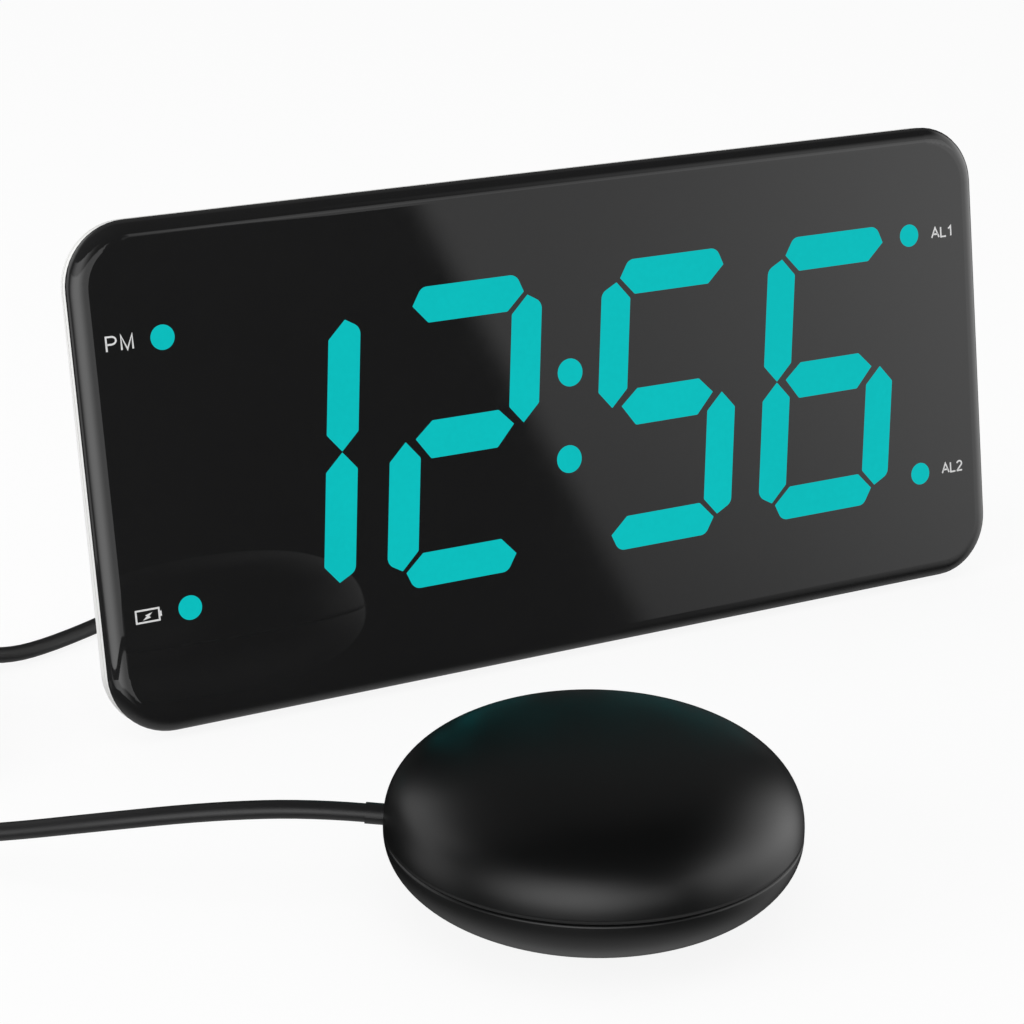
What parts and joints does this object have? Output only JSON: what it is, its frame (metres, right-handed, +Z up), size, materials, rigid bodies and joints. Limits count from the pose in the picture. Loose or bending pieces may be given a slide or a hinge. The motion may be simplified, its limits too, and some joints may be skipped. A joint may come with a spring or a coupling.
{
  "type": "bed shaker alarm clock",
  "caption": "Wide digital alarm clock that leans on its own stand, with a round vibrating puck on a cord to go under a mattress.",
  "frame": {"origin": "on the table, under the middle of the clock and its puck without the cord", "axes": "+X along the display to the reader's right, +Y away from the reader, +Z up"},
  "size_m": [0.2749, 0.2191, 0.0963],
  "materials": {
    "panel_gloss": "piano black, high gloss",
    "light_guide": "clear teal-tinted plastic, lit from behind",
    "case_white": "white moulded plastic, satin",
    "reflector_white": "white, matt",
    "board_green": "green solder mask",
    "led_body": "pale epoxy",
    "key_grey": "light grey moulded plastic",
    "part_black": "black moulded plastic",
    "steel": "zinc-plated steel",
    "magnet_grey": "dark grey sintered",
    "weight_metal": "turned heavy metal",
    "plug_metal": "nickel-plated brass",
    "cell_sleeve": "heat-shrunk sleeve",
    "wire_sleeve": "thin insulation",
    "foot_rubber": "matt rubber",
    "puck_black": "black moulded plastic, satin",
    "cord_black": "black flexible cord sleeve"
  },
  "bodies": {
    "root": {"front_panel": "panel_gloss", "digit_1_light_guide": "light_guide", "digit_2_light_guide": "light_guide", "digit_3_light_guide": "light_guide", "digit_4_light_guide": "light_guide", "colon_light_guide": "light_guide", "indicator_light_pipes": "light_guide", "rear_cover": "case_white", "bezel_frame": "case_white", "reflector_block": "reflector_white", "display_board": "board_green", "main_board": "board_green", "socket_board": "board_green", "led_chips": "led_body", "snooze_switch": "part_black", "button_switches": "part_black", "mode_switch_body": "part_black", "dimmer_potentiometer": "part_black", "board_components": "part_black", "shaker_socket": "part_black", "power_socket": "part_black", "motor_end_cap": "part_black", "speaker_cone": "part_black", "snooze_springs": "steel", "housing_screws": "steel", "board_screws": "steel", "puck_screws": "steel", "speaker_basket": "steel", "usb_socket": "steel", "motor_can": "steel", "motor_clamp": "steel", "battery_contacts": "steel", "speaker_magnet": "magnet_grey", "shaker_plug_pin": "plug_metal", "battery_cell": "cell_sleeve", "display_ribbon": "wire_sleeve", "speaker_leads": "wire_sleeve", "puck_leads": "wire_sleeve", "rubber_feet": "foot_rubber", "puck_foot_pad": "foot_rubber", "puck_top_shell": "puck_black", "puck_base_shell": "puck_black", "puck_collar": "cord_black", "cord_to_puck": "cord_black", "cord_coil": "cord_black", "cord_to_clock": "cord_black", "cord_tie": "cord_black", "shaker_plug": "cord_black"},
    "snooze": {"snooze_bar": "key_grey"},
    "time_button": {"button_time": "key_grey"},
    "alarm_1_button": {"button_alarm_1": "key_grey"},
    "alarm_2_button": {"button_alarm_2": "key_grey"},
    "up_button": {"button_up": "key_grey"},
    "down_button": {"button_down": "key_grey"},
    "mode_knob": {"mode_switch_knob": "key_grey"},
    "dimmer": {"dimmer_wheel": "key_grey"},
    "door": {"battery_door": "case_white"},
    "rotor": {"motor_shaft": "steel", "eccentric_weight": "weight_metal"}
  },
  "joints": [
    {"name": "snooze_press", "type": "slide", "parent": "root", "child": "snooze", "axis": [0, 0, -1], "range_m": [0, 0.0012], "stiffness_N_per_m": 250, "springref_m": -0.002, "deforming": ["snooze_springs"]},
    {"name": "time_press", "type": "slide", "parent": "root", "child": "time_button", "axis": [0, -1, 0], "range_m": [0, 0.0008], "stiffness_N_per_m": 400, "springref_m": -0.001},
    {"name": "alarm_1_press", "type": "slide", "parent": "root", "child": "alarm_1_button", "axis": [0, -1, 0], "range_m": [0, 0.0008], "stiffness_N_per_m": 400, "springref_m": -0.001},
    {"name": "alarm_2_press", "type": "slide", "parent": "root", "child": "alarm_2_button", "axis": [0, -1, 0], "range_m": [0, 0.0008], "stiffness_N_per_m": 400, "springref_m": -0.001},
    {"name": "up_press", "type": "slide", "parent": "root", "child": "up_button", "axis": [0, -1, 0], "range_m": [0, 0.0008], "stiffness_N_per_m": 400, "springref_m": -0.001},
    {"name": "down_press", "type": "slide", "parent": "root", "child": "down_button", "axis": [0, -1, 0], "range_m": [0, 0.0008], "stiffness_N_per_m": 400, "springref_m": -0.001},
    {"name": "mode_slide", "type": "slide", "parent": "root", "child": "mode_knob", "axis": [1, 0, 0], "range_m": [-0.0025, 0.0025]},
    {"name": "dimmer_turn", "type": "hinge", "parent": "root", "child": "dimmer", "pos_m": [0.056, 0.07888, 0.04], "axis": [1, 0, 0], "range_deg": [-150, 150]},
    {"name": "door_swing", "type": "hinge", "parent": "root", "child": "door", "pos_m": [0.036, 0.08288, 0.0045], "axis": [-1, 0, 0], "range_deg": [0, 80]},
    {"name": "rotor_spin", "type": "hinge", "parent": "root", "child": "rotor", "pos_m": [-0.04864, -0.04922, 0.0146], "axis": [1, 0, 0], "continuous": true}
  ]
}
